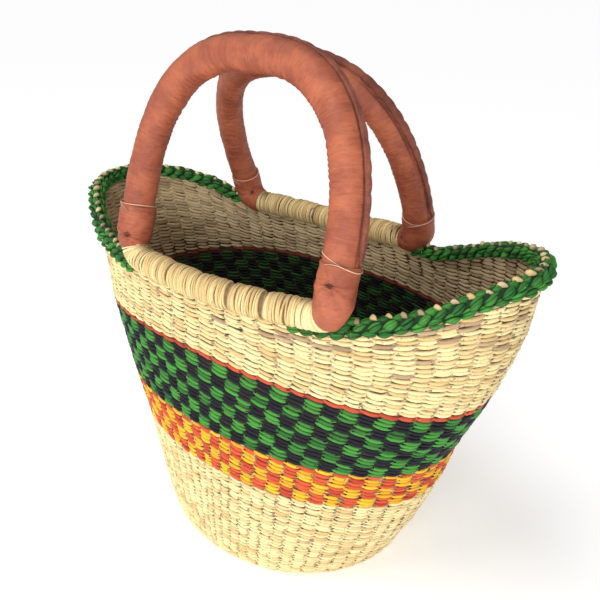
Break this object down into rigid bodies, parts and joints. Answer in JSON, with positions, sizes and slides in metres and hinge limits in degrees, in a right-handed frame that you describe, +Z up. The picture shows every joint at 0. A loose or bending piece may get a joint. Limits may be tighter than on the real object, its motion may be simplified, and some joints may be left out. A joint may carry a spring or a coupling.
{
  "type": "straw basket bag",
  "caption": "Open twined straw bag with an oval base and a flared, boat-shaped mouth, carried by stiff leather-covered arch handles that stand on straw rolls on the rim.",
  "frame": {"origin": "middle of the base, on the floor", "axes": "+Z up, +X along the mouth to the right tip, -Y towards the front handle"},
  "size_m": [0.3971, 0.203, 0.4031],
  "materials": {
    "straw": "matte twined straw",
    "green_straw": "matte dyed straw",
    "leather": "satin, wrinkled",
    "dark_leather": "satin",
    "thread": "matte thread"
  },
  "bodies": {
    "root": {"basket_body": "straw", "rim_roll_front": "straw", "rim_roll_rear": "straw", "rim_braid_left": "green_straw", "rim_braid_right": "green_straw", "handle_front": "leather", "handle_rear": "leather", "cuff_front_left": "leather", "cuff_front_right": "leather", "cuff_rear_left": "leather", "cuff_rear_right": "leather", "handle_seam_front": "dark_leather", "handle_seam_rear": "dark_leather", "tie_front_left": "thread", "tie_front_right": "thread", "tie_rear_left": "thread", "tie_rear_right": "thread"}
  },
  "joints": []
}
